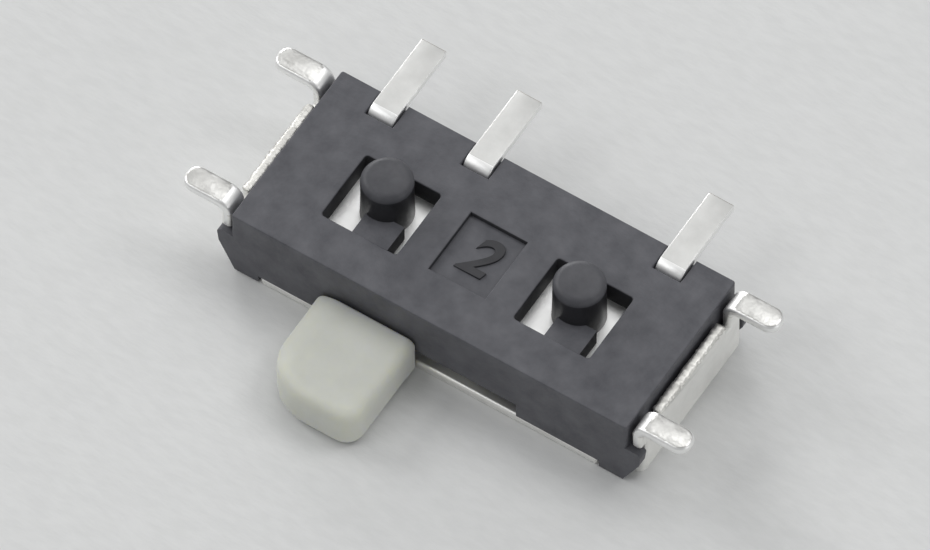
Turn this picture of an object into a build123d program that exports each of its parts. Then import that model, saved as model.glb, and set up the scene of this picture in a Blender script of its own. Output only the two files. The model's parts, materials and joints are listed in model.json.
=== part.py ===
"""Miniature right-angle surface-mount slide switch, lying on its metal cover with the board side up.

X runs along the switch, +Y points from the knob to the terminals, and +Z points out of the board face.
The origin is in the board face, midway between the two locating posts. All sizes are in millimetres.
"""

import os

from build123d import *

os.makedirs("parts", exist_ok=True)

# The whole switch
body_length = 6.16
body_depth = 2.71
body_height = 1.30
travel = 1.85
overrun = 0.30

# Base: the moulded shell
floor_thickness = 0.47
end_wall = 0.40
front_wall = 0.30
rear_wall = 0.36
heel_radius = 0.16
base_corner = 0.04

# Base: snap wings and feet, in a thin fascia at the front and at the rear
fascia = 0.15
wing_top = 0.50
wing_reach = 0.235
wing_land = 0.26
wing_slope = 0.03
wing_round = 0.06
foot_inset = 0.04
foot_width = 0.37
foot_clearance = 0.02

# Base: windows, posts, webs and mould mark in the board face
post_pitch = 3.00
post_diameter = 0.72
post_flare = 0.01
post_root = 0.03
post_height = 0.48
post_round = 0.11
window_width = 1.18
window_depth = 1.11
window_shift = -0.145
window_corner = 0.05
web_width = 0.55
web_shift = 0.155
web_depth = 0.45
web_drop = 0.06
mark_width = 0.88
mark_depth = 1.04
mark_shift = -0.125
mark_sink = 0.08

# Terminals
terminal_sheet = 0.12
terminal_width = 0.40
terminal_pitch = 1.50
terminal_reach = 0.97
terminal_bend = 0.08
solder_standoff = 0.05
notch_depth = 0.40
notch_clearance = 0.02
plate_lap = 0.13
plate_gap = 0.30

# Cover
cover_sheet = 0.15
cover_bend = 0.10
cover_end_gap = 0.05
cover_side_gap = 0.03
end_wall_drop = 0.20
lug_reach = 0.66
lug_pitch = 2.22
lug_width = 0.37
lug_bend = 0.08
lug_round_share = 0.45
relief_width = 0.12
relief_depth = 0.22
snap_clearance = 0.04

# Slider: carriage, neck and knob
slide_clearance = 0.03
stop_clearance = 0.025
carriage_length = 3.20
carriage_drop = 0.20
carriage_corner = 0.08
neck_width = 0.85
neck_thickness = 0.21
knob_width = 1.53
knob_reach = 1.58
knob_gap = 0.04
knob_drop = 0.57
knob_lift = 0.05
knob_left_corner = 0.74
knob_right_corner = 0.28
knob_top_round = 0.14
knob_foot_round = 0.07

# Contact clip
clip_sheet = 0.08
clip_width = 0.90
clip_flat = 0.70
clip_length = 2.60
wiper_pitch = 2.00
wiper_crest = 0.24
wiper_tail_drop = 0.16
wiper_clearance = 0.02
clip_rise = 0.28
clip_bend = 0.06
finger_gap = 0.18
pocket_clearance = 0.03

# Levels and places that follow from the sizes above
base_height = body_height - cover_sheet
base_end = body_length / 2
base_front = -body_depth / 2
base_rear = body_depth / 2
contact_level = terminal_sheet - floor_thickness
wing_tip = base_end + wing_reach
foot_level = foot_clearance - body_height
foot_outer = base_end - foot_inset
foot_inner = foot_outer - foot_width
slider_centre = -travel / 2
slot_length = travel + neck_width + 2 * stop_clearance
slot_height = neck_thickness + 2 * slide_clearance
post_places = [(-post_pitch / 2, 0), (post_pitch / 2, 0)]
window_places = [(-post_pitch / 2, window_shift), (post_pitch / 2, window_shift)]

# Each terminal: place of its strip along the switch, and the ends of its contact plate
plate_inner = (post_pitch - plate_gap) / 2
plate_outer = (post_pitch + plate_gap) / 2
plate_end = (3 * terminal_pitch + terminal_width) / 2 + plate_lap
terminal_layout = {
    "left_terminal": (-3 * terminal_pitch / 2, -plate_end, -plate_outer),
    "common_terminal": (-terminal_pitch / 2, -plate_inner, plate_inner),
    "right_terminal": (3 * terminal_pitch / 2, plate_outer, plate_end),
}

# Terminals: a contact plate, a riser and a solder tongue, drawn along the middle of their strip
plate_front = window_shift - window_depth / 2 - plate_lap
plate_rear = window_shift + window_depth / 2 + plate_lap
plate_middle = contact_level - terminal_sheet / 2
riser_middle = base_rear - notch_depth + terminal_sheet / 2
tongue_middle = solder_standoff - terminal_sheet / 2
terminals = []
for name, (place, plate_left, plate_right) in terminal_layout.items():
    with BuildPart() as terminal:
        with BuildSketch(Plane.YZ.offset(place)):
            with BuildLine():
                FilletPolyline(
                    (plate_rear, plate_middle),
                    (riser_middle, plate_middle),
                    (riser_middle, tongue_middle),
                    (base_rear + terminal_reach, tongue_middle),
                    radius=terminal_bend + terminal_sheet / 2,
                )
            trace(line_width=terminal_sheet)
        extrude(amount=terminal_width / 2, both=True)
        with BuildSketch(Plane.XY.offset(contact_level)):
            with Locations(((plate_left + plate_right) / 2, (plate_front + plate_rear) / 2)):
                Rectangle(plate_right - plate_left, plate_rear - plate_front)
        extrude(amount=-terminal_sheet)
    terminal.part.label = name
    export_step(terminal.part, f"parts/{name}.step")
    terminals.append(terminal.part)

# Base: shell between the two fascias, open towards the cover
with BuildPart() as base:
    with BuildSketch(Plane.XZ):
        heel = Rectangle(body_length, base_height, align=(Align.CENTER, Align.MAX))
        fillet(heel.vertices().group_by(Axis.Y)[0], heel_radius)
    extrude(amount=body_depth / 2 - fascia, both=True)

    # Fascia with its snap wings and feet
    with BuildSketch(Plane.XZ.offset(body_depth / 2 - fascia)):
        with BuildLine():
            Polyline(
                (0, 0),
                (base_end, 0),
                (base_end, -wing_top),
                (wing_tip, -wing_top),
                (wing_tip - wing_slope, -wing_top - wing_land),
                (foot_outer, foot_level),
                (foot_inner, foot_level),
                (foot_inner, -base_height),
                (0, -base_height),
            )
            mirror(about=Plane.YZ)
        fascia_face = make_face()
        wing_corners = fascia_face.vertices().group_by(Axis.X)
        fillet(wing_corners[0] + wing_corners[-1], wing_round)
    front_fascia = extrude(amount=fascia)
    mirror(front_fascia, about=Plane.XZ)

    # Rounded upright corners of the moulding
    fillet(base.edges().filter_by(Axis.Z).group_by(Axis.Z)[-1], base_corner)

    # Cavity for the slider
    with BuildSketch(Plane.XY.offset(-base_height)):
        with Locations((0, (front_wall - rear_wall) / 2)):
            Rectangle(body_length - 2 * end_wall, body_depth - front_wall - rear_wall)
    extrude(amount=base_height - floor_thickness, mode=Mode.SUBTRACT)

    # Slot for the slider's neck
    with BuildSketch(Plane.XZ.offset(-base_front)):
        with Locations((0, -base_height)):
            Rectangle(slot_length, slot_height, align=(Align.CENTER, Align.MIN))
    extrude(amount=-front_wall, mode=Mode.SUBTRACT)

    # Windows down to the contact plates
    with BuildSketch():
        with Locations(window_places):
            RectangleRounded(window_width, window_depth, window_corner)
    extrude(amount=contact_level, mode=Mode.SUBTRACT)

    # Webs from the front of the windows, and the locating posts that they carry
    with BuildSketch(Plane.XY.offset(contact_level)):
        with Locations([(x + web_shift, y - window_depth / 2) for x, y in window_places]):
            Rectangle(web_width, web_depth, align=(Align.CENTER, Align.MIN))
    extrude(amount=-contact_level - web_drop)
    with Locations([(x, y, contact_level) for x, y in post_places]):
        standing = (Align.CENTER, Align.CENTER, Align.MIN)
        Cone(post_diameter / 2 + post_flare, post_diameter / 2, post_root - contact_level, align=standing)
    with BuildSketch(Plane.XY.offset(post_root)):
        with Locations(post_places):
            Circle(post_diameter / 2)
    extrude(amount=post_height - post_root)
    fillet(base.edges().group_by(Axis.Z)[-1], post_round)

    # Mould mark: a shallow square recess
    with BuildSketch():
        with Locations((0, mark_shift)):
            Rectangle(mark_width, mark_depth)
    extrude(amount=-mark_sink, mode=Mode.SUBTRACT)

    # Notches for the terminals' bends, then the beds of the moulded-in terminals
    with BuildSketch():
        with Locations([(place, base_rear) for place, _, _ in terminal_layout.values()]):
            Rectangle(terminal_width + 2 * notch_clearance, 2 * notch_depth)
    extrude(amount=solder_standoff - terminal_bend - terminal_sheet, mode=Mode.SUBTRACT)
    add(terminals, mode=Mode.SUBTRACT)
base.part.label = "base"
export_step(base.part, "parts/base.step")

# Cover: plate and end walls folded from one sheet, drawn along its middle
cover_end = base_end + cover_end_gap + cover_sheet
wall_middle = cover_end - cover_sheet / 2
wall_width = body_depth - 2 * (fascia + cover_side_gap)
lug_root = wing_top - snap_clearance
middle_width = lug_pitch - lug_width - 2 * relief_width
with BuildPart() as cover:
    with BuildSketch(Plane.XZ):
        with BuildLine():
            FilletPolyline(
                (-wall_middle, -end_wall_drop - relief_depth),
                (-wall_middle, -body_height + cover_sheet / 2),
                (wall_middle, -body_height + cover_sheet / 2),
                (wall_middle, -end_wall_drop - relief_depth),
                radius=cover_bend + cover_sheet / 2,
            )
        trace(line_width=cover_sheet)
    extrude(amount=wall_width / 2, both=True)

    # Plate edges that close the base along its front and rear
    with BuildSketch(Plane.XY.offset(-body_height)):
        Rectangle(2 * (foot_inner - cover_side_gap), body_depth)
    extrude(amount=cover_sheet)

    # Middle of each end wall, between the reliefs
    with BuildSketch(Plane.XY.offset(-end_wall_drop)):
        with Locations((cover_end, 0), (-cover_end + cover_sheet, 0)):
            Rectangle(cover_sheet, middle_width, align=(Align.MAX, Align.CENTER))
    extrude(amount=-2 * relief_depth)

    # Solder lugs: each rises past its wing and bends outwards
    with BuildSketch(Plane.XZ.offset((lug_pitch - lug_width) / 2)):
        with BuildLine():
            FilletPolyline(
                (wall_middle, -lug_root),
                (wall_middle, solder_standoff - cover_sheet / 2),
                (cover_end + lug_reach, solder_standoff - cover_sheet / 2),
                radius=lug_bend + cover_sheet / 2,
            )
        trace(line_width=cover_sheet)
    lug = extrude(amount=lug_width)
    lug_pair = [lug, mirror(lug, about=Plane.XZ)]
    mirror(lug_pair, about=Plane.YZ)
    lug_tips = cover.edges().filter_by(Axis.Z).group_by(Axis.X)
    fillet(lug_tips[0] + lug_tips[-1], lug_width * lug_round_share)
cover.part.label = "cover"
export_step(cover.part, "parts/cover.step")

# Slider: carriage in the cavity, neck through the slot, knob in front of the wall
carriage_level = -base_height + slide_clearance
carriage_depth = body_depth - front_wall - rear_wall - 2 * slide_clearance
carriage_top = -floor_thickness - carriage_drop
carriage_front = base_front + front_wall + slide_clearance
knob_back = base_front - knob_gap
knob_front = base_front - knob_reach
pocket_level = -floor_thickness - wiper_clearance - clip_rise - clip_sheet
with BuildPart() as slider:
    # Knob: a block with one full and one tight front corner, rounded along its upper edge
    with BuildSketch(Plane.XY.offset(knob_lift - body_height)) as knob_outline:
        with Locations((slider_centre, knob_front)):
            Rectangle(knob_width, knob_back - knob_front, align=(Align.CENTER, Align.MIN))
        fillet(knob_outline.vertices().group_by(Axis.Y)[0].sort_by(Axis.X)[0], knob_left_corner)
        fillet(knob_outline.vertices().group_by(Axis.Y)[0].sort_by(Axis.X)[-1], knob_right_corner)
    extrude(amount=body_height - knob_lift - knob_drop)
    fillet(slider.faces().sort_by(Axis.Z)[-1].edges().sort_by(Axis.Y)[0], knob_top_round)
    fillet(slider.faces().sort_by(Axis.Z)[0].edges().sort_by(Axis.Y)[0], knob_foot_round)

    # Neck and carriage
    with BuildSketch(Plane.XY.offset(carriage_level)):
        with Locations((slider_centre, knob_back)):
            Rectangle(neck_width, carriage_front - knob_back, align=(Align.CENTER, Align.MIN))
    extrude(amount=neck_thickness)
    with BuildSketch(Plane.XY.offset(carriage_level)):
        with Locations((slider_centre, carriage_front + carriage_depth / 2)):
            RectangleRounded(carriage_length, carriage_depth, carriage_corner)
    extrude(amount=carriage_top - carriage_level)

    # Pocket that carries the contact clip
    with BuildSketch(Plane.XY.offset(carriage_top)):
        with Locations((slider_centre, window_shift)):
            Rectangle(clip_length + 2 * pocket_clearance, clip_width + 2 * pocket_clearance)
    extrude(amount=pocket_level - carriage_top, mode=Mode.SUBTRACT)
slider.part.label = "slider"
export_step(slider.part, "parts/slider.step")

# Contact clip: a bowed bridge with two fingers at each end, drawn along the middle of its sheet
clip_level = pocket_level + clip_sheet / 2
crest_level = clip_level + clip_rise
half_profile = [
    (clip_flat / 2, clip_level),
    ((wiper_pitch - wiper_crest) / 2, crest_level),
    ((wiper_pitch + wiper_crest) / 2, crest_level),
    (clip_length / 2, crest_level - wiper_tail_drop),
]
with BuildPart() as clip:
    with BuildSketch(Plane.XZ.offset(-window_shift)):
        with BuildLine():
            left_half = [(slider_centre - x, z) for x, z in reversed(half_profile)]
            right_half = [(slider_centre + x, z) for x, z in half_profile]
            FilletPolyline(*left_half, *right_half, radius=clip_bend + clip_sheet / 2)
        trace(line_width=clip_sheet)
    extrude(amount=clip_width / 2, both=True)

    # Gap between the two fingers of each end
    finger_length = (clip_length - clip_flat) / 2
    finger_middle = (clip_length + clip_flat) / 4
    with BuildSketch(Plane.XY.offset(pocket_level)):
        with Locations((slider_centre, window_shift)):
            with Locations((-finger_middle, 0), (finger_middle, 0)):
                Rectangle(finger_length + overrun, finger_gap)
    extrude(amount=clip_rise + clip_sheet, mode=Mode.SUBTRACT)
clip.part.label = "contact_clip"
export_step(clip.part, "parts/contact_clip.step")
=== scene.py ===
"""Looks of a miniature right-angle slide switch, lying on its metal cover with its board side up.

Lengths are written in millimetres times mm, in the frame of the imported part: X along the switch,
+Y from the knob to the terminals, +Z out of the board face.
"""

import json
import math

import bmesh
import bpy
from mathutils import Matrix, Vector, noise

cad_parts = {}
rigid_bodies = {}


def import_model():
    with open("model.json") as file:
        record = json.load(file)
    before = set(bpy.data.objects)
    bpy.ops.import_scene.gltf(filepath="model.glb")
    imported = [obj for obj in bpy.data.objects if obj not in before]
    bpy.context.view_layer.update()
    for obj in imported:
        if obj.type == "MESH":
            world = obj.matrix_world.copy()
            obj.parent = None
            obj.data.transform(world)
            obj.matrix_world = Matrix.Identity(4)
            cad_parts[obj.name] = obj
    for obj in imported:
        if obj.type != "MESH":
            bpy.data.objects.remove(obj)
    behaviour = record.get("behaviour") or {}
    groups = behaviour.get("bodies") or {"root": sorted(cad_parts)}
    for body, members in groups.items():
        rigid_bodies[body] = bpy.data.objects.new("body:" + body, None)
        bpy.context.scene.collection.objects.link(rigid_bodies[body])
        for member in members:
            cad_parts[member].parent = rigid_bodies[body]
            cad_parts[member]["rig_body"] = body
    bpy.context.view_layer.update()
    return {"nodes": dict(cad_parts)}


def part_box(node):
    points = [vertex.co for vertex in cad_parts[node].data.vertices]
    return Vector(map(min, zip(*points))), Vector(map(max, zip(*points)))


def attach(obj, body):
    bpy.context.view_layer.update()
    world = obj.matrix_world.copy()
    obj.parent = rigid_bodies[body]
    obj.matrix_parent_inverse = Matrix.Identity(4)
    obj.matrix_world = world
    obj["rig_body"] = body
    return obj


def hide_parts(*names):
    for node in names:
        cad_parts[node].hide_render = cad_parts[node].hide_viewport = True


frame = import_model()
mm = 0.001

# Terminals
# Three strips of tinned brass, cut and bent in a press and moulded into the base. Each shows a silvered
# contact plate at the bottom of a window, a bend in a notch and a tongue, bare where it was cut. A brighter
# copy of the tin paints highlight on the bends and sheared edges, and the cut ends are coloured far darker
# than brass as painted shade.
terminal_edge = 0.022 * mm
plate_top = -0.35 * mm
plate_rear = 0.54 * mm
level_slope = 0.5
cut_slope = 0.3
bend_slope = -0.1
weld_distance = 0.0001 * mm
flat_angle = math.radians(1)
corner_angle = math.radians(28)
crease_angle = math.radians(40)
round_steps = 3


def added(name, data):
    """A new object in the scene."""
    made = bpy.data.objects.new(name, data)
    bpy.context.scene.collection.objects.link(made)
    return made


def softened(node_name, edge_round, piece_name, rounded=lambda edge: True):
    """A copy of a node's mesh with its outer corners rounded, which stands for that node."""
    shape = bmesh.new()
    shape.from_mesh(frame["nodes"][node_name].data)
    bmesh.ops.remove_doubles(shape, verts=shape.verts, dist=weld_distance)
    bmesh.ops.dissolve_limit(shape, angle_limit=flat_angle, verts=shape.verts, edges=shape.edges)
    outer = [e for e in shape.edges if e.is_manifold and e.is_convex and e.calc_face_angle() > corner_angle]
    bmesh.ops.bevel(
        shape, geom=[e for e in outer if rounded(e)], offset=edge_round, offset_type="OFFSET",
        segments=round_steps, profile=0.5, affect="EDGES", clamp_overlap=False, loop_slide=False,
    )
    for face in shape.faces:
        face.smooth = True
    for edge in shape.edges:
        edge.smooth = edge.is_manifold and edge.calc_face_angle() < crease_angle
    mesh = bpy.data.meshes.new(piece_name)
    shape.to_mesh(mesh)
    shape.free()
    piece = added(piece_name, mesh)
    piece.modifiers.new("even shading", "WEIGHTED_NORMAL").keep_sharp = True
    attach(piece, frame["nodes"][node_name]["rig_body"])
    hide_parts(node_name)
    return piece


def new_material(name, **constants):
    """A new material, its node tree and its Principled shader, with the shader's constant values set."""
    material = bpy.data.materials.new(name)
    material.use_nodes = True
    shader = material.node_tree.nodes["Principled BSDF"]
    for socket, value in constants.items():
        shader.inputs[socket.replace("_", " ")].default_value = value
    return material, material.node_tree, shader


def node(tree, kind, settings=None, **inputs):
    """Adds a node; an input is a plain value or the socket that feeds it."""
    made = tree.nodes.new(kind)
    for name, value in (settings or {}).items():
        setattr(made, name, value)
    for name, value in inputs.items():
        socket = made.inputs[name.replace("_", " ")]
        if isinstance(value, bpy.types.NodeSocket):
            tree.links.new(value, socket)
        else:
            socket.default_value = value
    return made


def ramp(tree, factor, *stops):
    """A colour ramp through (place, colour) stops."""
    made = node(tree, "ShaderNodeValToRGB", Fac=factor)
    elements = made.color_ramp.elements
    while len(elements) < len(stops):
        elements.new(0.5)
    for element, (place, colour) in zip(elements, stops):
        element.position = place
        element.color = colour
    return made.outputs["Color"]


def coat(piece, finishes, finish_of):
    """Gives a piece its materials, and each face the one that finish_of picks."""
    for finish in finishes:
        piece.data.materials.append(finish)
    for face in piece.data.polygons:
        face.material_index = finishes.index(finish_of(face))


def tinned(name, dark, light, gloss_low, gloss_high, grain_stretch, dent_depth=0.012 * mm):
    """Bright tin plating: cloudy brightness, uneven gloss, shallow dents and fine rolling lines."""
    material, tree, shader = new_material(name, Metallic=1.0)
    place = node(tree, "ShaderNodeTexCoord").outputs["Object"]
    cloud = node(tree, "ShaderNodeTexNoise", Vector=place, Scale=3200, Detail=5, Roughness=0.6)
    tree.links.new(ramp(tree, cloud.outputs["Fac"], (0.3, dark), (0.7, light)), shader.inputs["Base Color"])
    stretched = node(tree, "ShaderNodeMapping", Vector=place, Scale=grain_stretch)
    lines = node(tree, "ShaderNodeTexNoise", Vector=stretched.outputs["Vector"], Scale=9000, Detail=4)
    gloss = node(tree, "ShaderNodeMapRange", Value=lines.outputs["Fac"], To_Min=gloss_low, To_Max=gloss_high)
    tree.links.new(gloss.outputs["Result"], shader.inputs["Roughness"])
    dents = node(tree, "ShaderNodeTexNoise", Vector=place, Scale=5200, Detail=3)
    worn = node(tree, "ShaderNodeBump", Height=dents.outputs["Fac"], Strength=0.35, Distance=dent_depth)
    rolled = node(tree, "ShaderNodeBump", Height=lines.outputs["Fac"], Normal=worn.outputs["Normal"],
                  Strength=0.25, Distance=0.003 * mm)
    tree.links.new(rolled.outputs["Normal"], shader.inputs["Normal"])
    return material


terminal_tin = tinned(
    "terminal_tin", dark=(0.62, 0.62, 0.605, 1), light=(0.71, 0.71, 0.695, 1),
    gloss_low=0.40, gloss_high=0.54, grain_stretch=(1.0, 0.12, 1.0),
)
# A brighter copy of the tin: painted highlight on the terminals' bends and sheared edges and on the lugs'
# bends and edges.
painted_highlight_tin = tinned(
    "painted_highlight_tin", dark=(0.93, 0.93, 0.92, 1), light=(0.99, 0.99, 0.98, 1),
    gloss_low=0.38, gloss_high=0.50, grain_stretch=(0.12, 1.0, 1.0),
)
contact_silver = tinned(
    "contact_silver", dark=(0.94, 0.94, 0.93, 1), light=(0.99, 0.99, 0.98, 1),
    gloss_low=0.34, gloss_high=0.44, grain_stretch=(0.12, 1.0, 1.0),
)
# Bare brass at the tongues' cut ends, coloured far darker than brass: partly real bare metal, partly painted
# shade.
shaded_bare_brass = tinned(
    "shaded_bare_brass", dark=(0.20, 0.15, 0.10, 1), light=(0.42, 0.34, 0.24, 1),
    gloss_low=0.40, gloss_high=0.60, grain_stretch=(0.4, 1.0, 2.0),
)


def terminal_finish(face):
    """Silver on the contact plate; bare brass on the cut end, darkened as painted shade; a brighter tin on
    the bend and the edges as painted highlight.
    """
    on_plate = face.center.y < plate_rear and face.center.z < plate_top + terminal_edge
    on_tongue = face.center.y > plate_rear
    if on_plate and face.normal.z > level_slope:
        return contact_silver
    if on_tongue and face.normal.y > cut_slope:
        return shaded_bare_brass
    if on_tongue and (face.normal.y < bend_slope or abs(face.normal.x) > cut_slope):
        return painted_highlight_tin
    return terminal_tin


for terminal_name in ("left_terminal", "common_terminal", "right_terminal"):
    strip = softened(terminal_name, terminal_edge, terminal_name + "_strip")
    coat(strip, (terminal_tin, contact_silver, painted_highlight_tin, shaded_bare_brass), terminal_finish)

# Base
# One moulding of black glass-filled nylon around the terminals: windows from the mould's core pins,
# two locating posts on webs, snap wings at the four corners and a matte, slightly cloudy skin.
base_edge = 0.02 * mm
board_face_band = 0.001 * mm
base_tones = ((0.066, 0.067, 0.078), (0.089, 0.090, 0.102), (0.112, 0.113, 0.126))
window_centre = Vector((1.5 * mm, -0.145 * mm))
window_reach = Vector((0.62 * mm, 0.58 * mm))
mark_reach = 0.7 * mm
mark_depth = 0.1 * mm
shaft_reach = 0.4 * mm
post_top_level = 0.3 * mm

moulding = softened(
    "base", base_edge, "base_moulding", lambda edge: all(abs(v.co.z) < board_face_band for v in edge.verts)
)


def moulded(name, matte_low, matte_high, pit_depth, shade=1.0):
    """Black glass-filled nylon: cloudy, with a fine grain that scatters its gloss."""
    tones = [(*(shade * channel for channel in colour), 1) for colour in base_tones]
    material, tree, shader = new_material(name, Specular_IOR_Level=0.5)
    place = node(tree, "ShaderNodeTexCoord").outputs["Object"]
    clouds = node(tree, "ShaderNodeTexNoise", Vector=place, Scale=2600, Detail=6, Roughness=0.62)
    tone = ramp(tree, clouds.outputs["Fac"], *zip((0.32, 0.5, 0.68), tones))
    tree.links.new(tone, shader.inputs["Base Color"])
    grain = node(tree, "ShaderNodeTexNoise", Vector=place, Scale=21000, Detail=4, Roughness=0.7)
    matte = node(tree, "ShaderNodeMapRange", Value=grain.outputs["Fac"], To_Min=matte_low, To_Max=matte_high)
    tree.links.new(matte.outputs["Result"], shader.inputs["Roughness"])
    pits = node(tree, "ShaderNodeBump", Height=grain.outputs["Fac"], Strength=0.4, Distance=pit_depth)
    tree.links.new(pits.outputs["Normal"], shader.inputs["Normal"])
    return material


black_nylon = moulded("black_nylon", 0.44, 0.66, 0.008 * mm)
# A copy darkened to a third: painted shade on the shadowed walls in the windows and round the mould mark, and
# on the digit.
painted_shade_nylon = moulded("painted_shade_nylon", 0.55, 0.75, 0.006 * mm, shade=0.35)
# A darker, glossier copy for the post shafts: painted shade.
shaded_shaft_nylon = moulded("shaded_shaft_nylon", 0.26, 0.40, 0.003 * mm, shade=0.22)
post_nylon = moulded("post_nylon", 0.40, 0.60, 0.006 * mm, shade=0.74)


def base_finish(face):
    """Painted shade on the walls in the windows and round the mould mark and on the glossy post shafts;
    smooth post tops.
    """
    from_centre = Vector((abs(face.center.x), face.center.y)) - window_centre
    in_window = abs(from_centre.x) < window_reach.x and abs(from_centre.y) < window_reach.y
    from_axis = Vector((abs(face.center.x) - window_centre.x, face.center.y)).length
    upright = face.normal.z < level_slope
    in_mark = max(abs(face.center.x), abs(face.center.y)) < mark_reach and face.center.z > -mark_depth
    if in_mark and upright:
        return painted_shade_nylon
    if not in_window or face.center.z < plate_top:
        return black_nylon
    if face.center.z > post_top_level:
        return post_nylon
    if upright:
        return shaded_shaft_nylon if from_axis < shaft_reach else painted_shade_nylon
    return black_nylon


coat(moulding, (black_nylon, painted_shade_nylon, shaded_shaft_nylon, post_nylon), base_finish)

# Mould mark
# The cavity number that the mould's insert leaves in the square recess: a plain raised digit,
# in one piece with the base.
mark_shift = -0.125 * mm
mark_floor = -0.08 * mm
digit_height = 0.62 * mm
digit_height_share = 0.73
digit_lean = 0.25
digit_swell = 0.012 * mm
digit_raise = 0.022 * mm
digit_edge = 0.008 * mm

text = bpy.data.curves.new("mould_mark_text", "FONT")
text.body = "2"
text.size = digit_height / digit_height_share
text.shear = digit_lean
text.align_x = "CENTER"
text.align_y = "CENTER"
text.offset = digit_swell
text.extrude = digit_raise
text.bevel_depth = digit_edge
text.bevel_resolution = 2
text_object = added("mould_mark_text", text)
bpy.context.view_layer.update()
digit_mesh = bpy.data.meshes.new_from_object(text_object.evaluated_get(bpy.context.evaluated_depsgraph_get()))
bpy.data.objects.remove(text_object)
digit = added("mould_mark_digit", digit_mesh)
digit.location = (0, mark_shift, mark_floor)
# The digit's strokes take the darkened nylon: painted shade.
digit_mesh.materials.append(painted_shade_nylon)
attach(digit, "housing")

# Slider
# A single moulding of natural, slightly translucent nylon: a carriage inside the base, a neck
# through the slot in its front wall and the knob that the finger moves.
slider_edge = 0.02 * mm
knob_mesh = 0.03 * mm
knob_back = -1.38 * mm
knob_middle = -0.91 * mm
knob_top = -0.57 * mm
ease_start = -1.60 * mm
ease_rounds = 12
ease_share = 0.5
slope_start = -1.30 * mm
slope_width = 0.555 * mm
slope_drop = 0.24 * mm

knob = softened("slider", slider_edge, "slider_moulding")

# The knob's softly rounded form: an even mesh, eased in front of the wall and sloped along its left edge
knob.modifiers.clear()
even = knob.modifiers.new("even mesh", "REMESH")
even.mode = "VOXEL"
even.voxel_size = knob_mesh
bpy.context.view_layer.update()
shape = bmesh.new()
shape.from_mesh(knob.evaluated_get(bpy.context.evaluated_depsgraph_get()).to_mesh())
knob.modifiers.clear()
eased = [v for v in shape.verts if v.co.y < ease_start]
for _ in range(ease_rounds):
    bmesh.ops.smooth_vert(
        shape, verts=eased, factor=ease_share, use_axis_x=True, use_axis_y=True, use_axis_z=True
    )
for vertex in shape.verts:
    if vertex.co.y < knob_back and vertex.co.x < slope_start and vertex.co.z > knob_middle:
        reach = (slope_start - vertex.co.x) / slope_width
        vertex.co.z -= slope_drop * reach ** 2 * (vertex.co.z - knob_middle) / (knob_top - knob_middle)
for face in shape.faces:
    face.smooth = True
shape.to_mesh(knob.data)
shape.free()
ivory, tree, shader = new_material(
    "ivory_nylon", Subsurface_Weight=0.7, Subsurface_Scale=0.35 * mm, Subsurface_Radius=(1.0, 0.95, 0.5),
    Specular_IOR_Level=0.2,
)
place = node(tree, "ShaderNodeTexCoord").outputs["Object"]
haze = node(tree, "ShaderNodeTexNoise", Vector=place, Scale=1800, Detail=4, Roughness=0.55)
tone = ramp(tree, haze.outputs["Fac"], (0.35, (0.605, 0.615, 0.565, 1)), (0.65, (0.64, 0.65, 0.60, 1)))
tree.links.new(tone, shader.inputs["Base Color"])
skin = node(tree, "ShaderNodeTexNoise", Vector=place, Scale=14000, Detail=3)
sheen = node(tree, "ShaderNodeMapRange", Value=skin.outputs["Fac"], To_Min=0.55, To_Max=0.75)
tree.links.new(sheen.outputs["Result"], shader.inputs["Roughness"])
ripple = node(tree, "ShaderNodeBump", Height=skin.outputs["Fac"], Strength=0.2, Distance=0.004 * mm)
tree.links.new(ripple.outputs["Normal"], shader.inputs["Normal"])
knob.data.materials.append(ivory)

# Contact clip
# A bowed bridge of thin spring brass with two fingers at each end, pressed into the carriage.
# It rides with the knob and joins the common plate to one of the others.
clip = frame["nodes"]["contact_clip"]
spring_brass, tree, shader = new_material("spring_brass", Metallic=1.0)
place = node(tree, "ShaderNodeTexCoord").outputs["Object"]
tarnish = node(tree, "ShaderNodeTexNoise", Vector=place, Scale=4200, Detail=5)
tone = ramp(tree, tarnish.outputs["Fac"], (0.3, (0.62, 0.44, 0.20, 1)), (0.7, (0.80, 0.62, 0.33, 1)))
tree.links.new(tone, shader.inputs["Base Color"])
polish = node(tree, "ShaderNodeMapRange", Value=tarnish.outputs["Fac"], To_Min=0.25, To_Max=0.45)
tree.links.new(polish.outputs["Result"], shader.inputs["Roughness"])
clip.data.materials.clear()
clip.data.materials.append(spring_brass)

# Cover
# One sheet of tinned steel, blanked and folded: a plate under the base, a wall at each end with its
# sheared edge up, and four lugs, dented by the press, that hook over the wings and bend out to be soldered.
cover_edge = 0.05 * mm
wall_top_level = -0.20 * mm
wall_inner = 3.13 * mm
wall_outer = 3.28 * mm
edge_band = 0.055 * mm
edge_length = 0.5 * mm
edge_cuts = 100
burr_pitch = 0.045 * mm
burr_reach = 0.02 * mm
burr_rise = 0.01 * mm
burr_shift = Vector((0, 0, 7))
flat_slope = 0.95

shell = softened("cover", cover_edge, "cover_sheet")

# Burrs that the press left along the sheared top of each end wall
shape = bmesh.new()
shape.from_mesh(shell.data)


def on_wall_top(vertex):
    """Whether a vertex belongs to the sheared top of an end wall."""
    level = abs(vertex.co.z - wall_top_level) < edge_band
    return level and wall_inner - edge_band < abs(vertex.co.x) < wall_outer + edge_band


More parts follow.
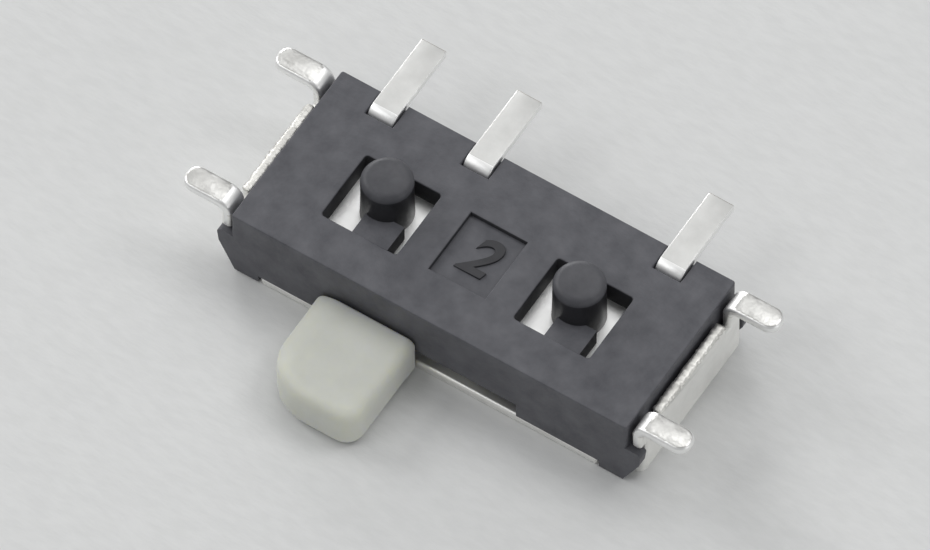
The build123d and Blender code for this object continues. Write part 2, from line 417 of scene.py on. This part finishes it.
long_edges = [
    e for e in shape.edges
    if all(on_wall_top(v) for v in e.verts) and abs(e.verts[0].co.y - e.verts[1].co.y) > edge_length
]
bmesh.ops.subdivide_edges(shape, edges=long_edges, cuts=edge_cuts, use_grid_fill=True)
for vertex in shape.verts:
    if on_wall_top(vertex):
        spot = Vector((vertex.co.x / burr_pitch, vertex.co.y / burr_pitch, 0))
        vertex.co.x += burr_reach * noise.noise(spot)
        vertex.co.z += burr_rise * noise.noise(spot + burr_shift)
shape.to_mesh(shell.data)
shape.free()
cover_tin = tinned(
    "cover_tin", dark=(0.90, 0.895, 0.87, 1), light=(0.99, 0.985, 0.96, 1),
    gloss_low=0.40, gloss_high=0.58, grain_stretch=(0.12, 1.0, 1.0),
)
# A darker, more mottled copy of the cover's tin for the upward lug tops: the dents are real, the darker tone
# is painted shade.
shaded_lug_tin = tinned(
    "shaded_lug_tin", dark=(0.56, 0.555, 0.535, 1), light=(0.86, 0.855, 0.83, 1),
    gloss_low=0.22, gloss_high=0.44, grain_stretch=(0.3, 1.0, 1.0), dent_depth=0.05 * mm,
)
sheared_steel = tinned(
    "sheared_steel", dark=(0.62, 0.61, 0.58, 1), light=(0.92, 0.91, 0.87, 1),
    gloss_low=0.34, gloss_high=0.62, grain_stretch=(0.2, 2.4, 0.2),
)


def cover_finish(face):
    """Sheared steel on the wall tops; on the lug tops a darker, dented copy of the tin, its darker tone
    painted shade; on their bends and edges a brighter copy as painted highlight.
    """
    if all(on_wall_top(shell.data.vertices[i]) for i in face.vertices):
        return sheared_steel
    if face.center.z > wall_top_level + edge_band:
        return shaded_lug_tin if face.normal.z > flat_slope else painted_highlight_tin
    return cover_tin


coat(shell, (cover_tin, sheared_steel, shaded_lug_tin, painted_highlight_tin), cover_finish)

# Table
# A sheet of pale matte paper under the switch, wide enough to fill every view.
table_reach = 400 * mm
table_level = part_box("cover")[0].z
laid_turn = (0, 0, 0.5)
laid_stretch = (0.35, 1.0, 1.0)

table_mesh = bpy.data.meshes.new("table")
corners = [(x * table_reach, y * table_reach, table_level) for x, y in ((-1, -1), (1, -1), (1, 1), (-1, 1))]
table_mesh.from_pydata(corners, [], [(0, 1, 2, 3)])
table = added("table", table_mesh)
paper, tree, shader = new_material("table_paper", Roughness=0.8, Specular_IOR_Level=0.2)
place = node(tree, "ShaderNodeTexCoord").outputs["Object"]
laid = node(tree, "ShaderNodeMapping", Vector=place, Rotation=laid_turn, Scale=laid_stretch)
grain = node(tree, "ShaderNodeTexNoise", Vector=laid.outputs["Vector"], Scale=9000, Detail=4, Roughness=0.6)
tone = ramp(tree, grain.outputs["Fac"], (0.35, (0.703, 0.708, 0.703, 1)), (0.65, (0.737, 0.742, 0.737, 1)))
tree.links.new(tone, shader.inputs["Base Color"])
nap = node(tree, "ShaderNodeBump", Height=grain.outputs["Fac"], Strength=0.25, Distance=0.02 * mm)
tree.links.new(nap.outputs["Normal"], shader.inputs["Normal"])
table_mesh.materials.append(paper)

# Light
# A pale room and seven round soft lights a quarter of a metre away: strong ones from the left and from behind
# on both sides, one from the front left, one overhead and weaker ones at the right and behind.
room_tone = (0.98, 0.99, 1.0, 1)
room_strength = 0.35
light_distance = 250 * mm
lights = (
    ("left_light", 180, 34, 110 * mm, 0.157),
    ("back_light", 45, 54, 110 * mm, 0.101),
    ("front_light", 228, 54, 110 * mm, 0.070),
    ("top_light", 90, 74, 110 * mm, 0.043),
    ("low_back_light", 135, 14, 110 * mm, 0.190),
    ("high_back_light", 122, 58, 150 * mm, 0.040),
    ("right_light", 0, 14, 110 * mm, 0.058),
)

room = bpy.data.worlds.new("room")
bpy.context.scene.world = room
room.use_nodes = True
room.node_tree.nodes["Background"].inputs["Color"].default_value = room_tone
room.node_tree.nodes["Background"].inputs["Strength"].default_value = room_strength
for light_name, light_turn, light_rise, light_width, light_power in lights:
    lamp_data = bpy.data.lights.new(light_name, "AREA")
    lamp_data.shape = "DISK"
    lamp_data.size = light_width
    lamp_data.energy = light_power
    lamp = added(light_name, lamp_data)
    turn = math.radians(light_turn)
    rise = math.radians(light_rise)
    outward = Vector((math.cos(turn) * math.cos(rise), math.sin(turn) * math.cos(rise), math.sin(rise)))
    lamp.location = outward * light_distance
    lamp.rotation_euler = (-outward).to_track_quat("-Z", "Y").to_euler()

# Camera
# A long lens from the front right and well above, as in the photograph.
azimuth = math.radians(32.5538)
elevation = math.radians(57.6194)
camera_distance = 250 * mm
frame_width = 12.251 * mm
aim_start = Vector((0, 0.0633 * mm, 0))
aim_right = -0.27396 * mm
aim_up = -0.39544 * mm

right = Vector((math.cos(azimuth), math.sin(azimuth), 0))
back = Vector((
    math.sin(azimuth) * math.cos(elevation),
    -math.cos(azimuth) * math.cos(elevation),
    math.sin(elevation),
))
up = back.cross(right)
camera_data = bpy.data.cameras.new("camera")
camera_data.lens = camera_data.sensor_width * camera_distance / frame_width
camera = added("camera", camera_data)
camera.location = aim_start + right * aim_right + up * aim_up + back * camera_distance
camera.rotation_euler = (-back).to_track_quat("-Z", "Y").to_euler()
bpy.context.scene.camera = camera
bpy.context.scene.view_settings.view_transform = "Standard"
